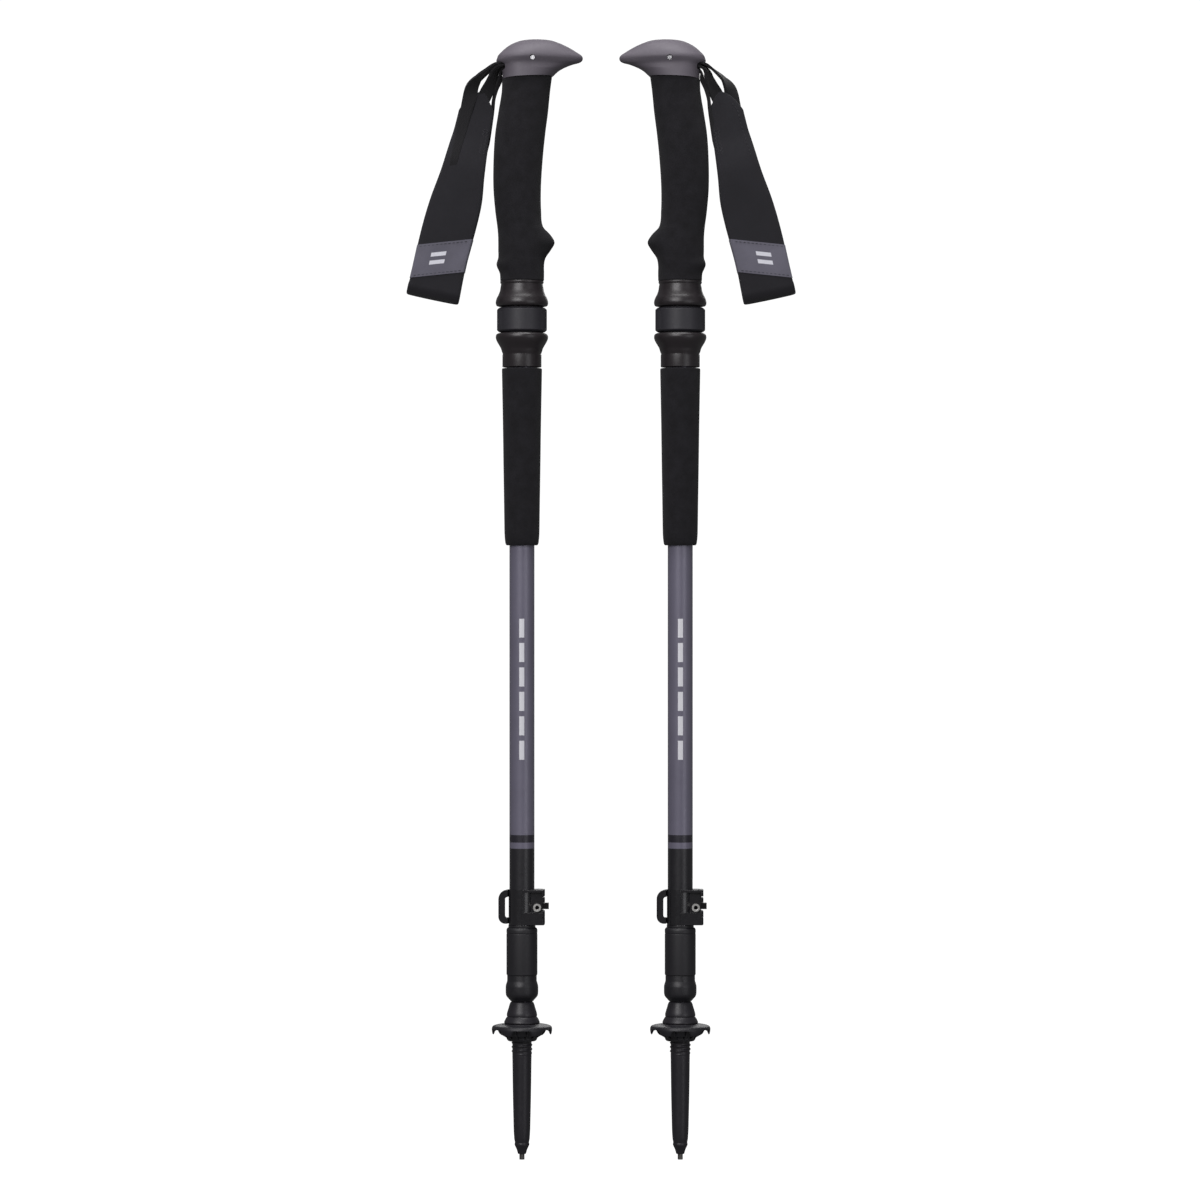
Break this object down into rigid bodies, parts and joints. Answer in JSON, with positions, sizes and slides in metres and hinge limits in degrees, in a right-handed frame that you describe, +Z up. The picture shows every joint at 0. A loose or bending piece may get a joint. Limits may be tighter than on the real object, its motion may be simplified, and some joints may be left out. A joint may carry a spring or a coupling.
{
  "type": "trekking poles",
  "caption": "Pair of telescoping three-section trekking poles with foam grips, wrist straps, shock rings, lever clamps, baskets and carbide tips.",
  "frame": {"origin": "on the ground, midway between the two carbide tips", "axes": "+Z up along both poles, +X from the left pole to the right pole, -Y is the side that is looked at"},
  "size_m": [0.2492, 0.0386, 0.7168],
  "materials": {
    "head_rubber": "soft-touch satin",
    "inner_plastic": "moulded",
    "foam": "matte closed-cell foam",
    "collar_plastic": "polished dark plastic",
    "steel": "drawn wire",
    "webbing": "tight flat weave",
    "strap_fabric": "padded woven band",
    "shaft_paint": "satin paint",
    "ring_rubber": "matte moulded rubber",
    "clamp_paint": "satin black",
    "bush_plastic": "natural acetal",
    "screw_steel": "bright steel",
    "inner_tube": "black anodised",
    "lock_plastic": "moulded",
    "lock_rubber": "soft-touch sleeve",
    "tip_plastic": "moulded",
    "carbide": "ground carbide",
    "basket_plastic": "flexible moulded"
  },
  "bodies": {
    "left_grip": {"left_pommel": "head_rubber", "left_grip_core": "inner_plastic", "left_foam_grip": "foam", "left_grip_collar": "collar_plastic", "left_strap_pin": "steel"},
    "left_strap": {"left_strap_webbing": "webbing", "left_strap_pad": "strap_fabric"},
    "left_shaft": {"left_upper_shaft": "shaft_paint", "left_shaft_collar": "collar_plastic", "left_foam_sleeve": "foam", "left_shock_ring": "ring_rubber", "left_shock_spring": "steel", "left_guide_rod": "inner_plastic", "left_clamp_band": "clamp_paint", "left_clamp_insert": "bush_plastic", "left_barrel_nut": "clamp_paint"},
    "left_lever": {"left_clamp_lever": "clamp_paint"},
    "left_screw": {"left_tension_screw": "screw_steel"},
    "left_middle": {"left_middle_shaft": "inner_tube", "left_middle_bush": "bush_plastic", "left_lock_housing": "lock_plastic", "left_lock_pawls": "steel", "left_collar_spring": "steel"},
    "left_collar": {"left_lock_collar": "lock_rubber"},
    "left_lower": {"left_lower_shaft": "inner_tube", "left_lower_bush": "bush_plastic", "left_tip_body": "tip_plastic", "left_carbide_tip": "carbide"},
    "left_basket": {"left_basket": "basket_plastic"},
    "right_grip": {"right_pommel": "head_rubber", "right_grip_core": "inner_plastic", "right_foam_grip": "foam", "right_grip_collar": "collar_plastic", "right_strap_pin": "steel"},
    "right_strap": {"right_strap_webbing": "webbing", "right_strap_pad": "strap_fabric"},
    "right_shaft": {"right_upper_shaft": "shaft_paint", "right_shaft_collar": "collar_plastic", "right_foam_sleeve": "foam", "right_shock_ring": "ring_rubber", "right_shock_spring": "steel", "right_guide_rod": "inner_plastic", "right_clamp_band": "clamp_paint", "right_clamp_insert": "bush_plastic", "right_barrel_nut": "clamp_paint"},
    "right_lever": {"right_clamp_lever": "clamp_paint"},
    "right_screw": {"right_tension_screw": "screw_steel"},
    "right_middle": {"right_middle_shaft": "inner_tube", "right_middle_bush": "bush_plastic", "right_lock_housing": "lock_plastic", "right_lock_pawls": "steel", "right_collar_spring": "steel"},
    "right_collar": {"right_lock_collar": "lock_rubber"},
    "right_lower": {"right_lower_shaft": "inner_tube", "right_lower_bush": "bush_plastic", "right_tip_body": "tip_plastic", "right_carbide_tip": "carbide"},
    "right_basket": {"right_basket": "basket_plastic"}
  },
  "joints": [
    {"name": "left_shock_travel", "type": "slide", "parent": "left_grip", "child": "left_shaft", "axis": [0, 0, 1], "range_m": [0, 0.005], "stiffness_N_per_m": 8000, "deforming": ["left_shock_ring", "left_shock_spring"]},
    {"name": "left_lever_swing", "type": "hinge", "parent": "left_shaft", "child": "left_lever", "pos_m": [-0.04085, 0.0086, 0.1616], "axis": [0, 0, -1], "range_deg": [0, 110]},
    {"name": "left_screw_turn", "type": "hinge", "parent": "left_shaft", "child": "left_screw", "pos_m": [-0.04085, 0, 0.1616], "axis": [0, -1, 0], "range_deg": [-180, 180]},
    {"name": "left_middle_slide", "type": "slide", "parent": "left_shaft", "child": "left_middle", "axis": [0, 0, -1], "range_m": [0, 0.365]},
    {"name": "left_collar_pull", "type": "slide", "parent": "left_middle", "child": "left_collar", "axis": [0, 0, -1], "range_m": [0, 0.003], "stiffness_N_per_m": 400, "springref_m": -0.003, "deforming": ["left_collar_spring"]},
    {"name": "left_lower_slide", "type": "slide", "parent": "left_middle", "child": "left_lower", "axis": [0, 0, -1], "range_m": [0, 0.32]},
    {"name": "left_basket_removal", "type": "slide", "parent": "left_lower", "child": "left_basket", "axis": [0, 0, -1], "range_m": [0, 0.09]},
    {"name": "left_strap_swing", "type": "hinge", "parent": "left_grip", "child": "left_strap", "pos_m": [-0.06885, 0, 0.698], "axis": [0, 1, 0], "range_deg": [0, 85]},
    {"name": "pair_spread", "type": "slide", "parent": "left_grip", "child": "right_grip", "axis": [1, 0, 0], "range_m": [0, 0.3]},
    {"name": "right_shock_travel", "type": "slide", "parent": "right_grip", "child": "right_shaft", "axis": [0, 0, 1], "range_m": [0, 0.005], "stiffness_N_per_m": 8000, "deforming": ["right_shock_ring", "right_shock_spring"]},
    {"name": "right_lever_swing", "type": "hinge", "parent": "right_shaft", "child": "right_lever", "pos_m": [0.06045, 0.0086, 0.1616], "axis": [0, 0, -1], "range_deg": [0, 110]},
    {"name": "right_screw_turn", "type": "hinge", "parent": "right_shaft", "child": "right_screw", "pos_m": [0.06045, 0, 0.1616], "axis": [0, -1, 0], "range_deg": [-180, 180]},
    {"name": "right_middle_slide", "type": "slide", "parent": "right_shaft", "child": "right_middle", "axis": [0, 0, -1], "range_m": [0, 0.365]},
    {"name": "right_collar_pull", "type": "slide", "parent": "right_middle", "child": "right_collar", "axis": [0, 0, -1], "range_m": [0, 0.003], "stiffness_N_per_m": 400, "springref_m": -0.003, "deforming": ["right_collar_spring"]},
    {"name": "right_lower_slide", "type": "slide", "parent": "right_middle", "child": "right_lower", "axis": [0, 0, -1], "range_m": [0, 0.32]},
    {"name": "right_basket_removal", "type": "slide", "parent": "right_lower", "child": "right_basket", "axis": [0, 0, -1], "range_m": [0, 0.09]},
    {"name": "right_strap_swing", "type": "hinge", "parent": "right_grip", "child": "right_strap", "pos_m": [0.06885, 0, 0.698], "axis": [0, -1, 0], "range_deg": [0, 85]}
  ]
}
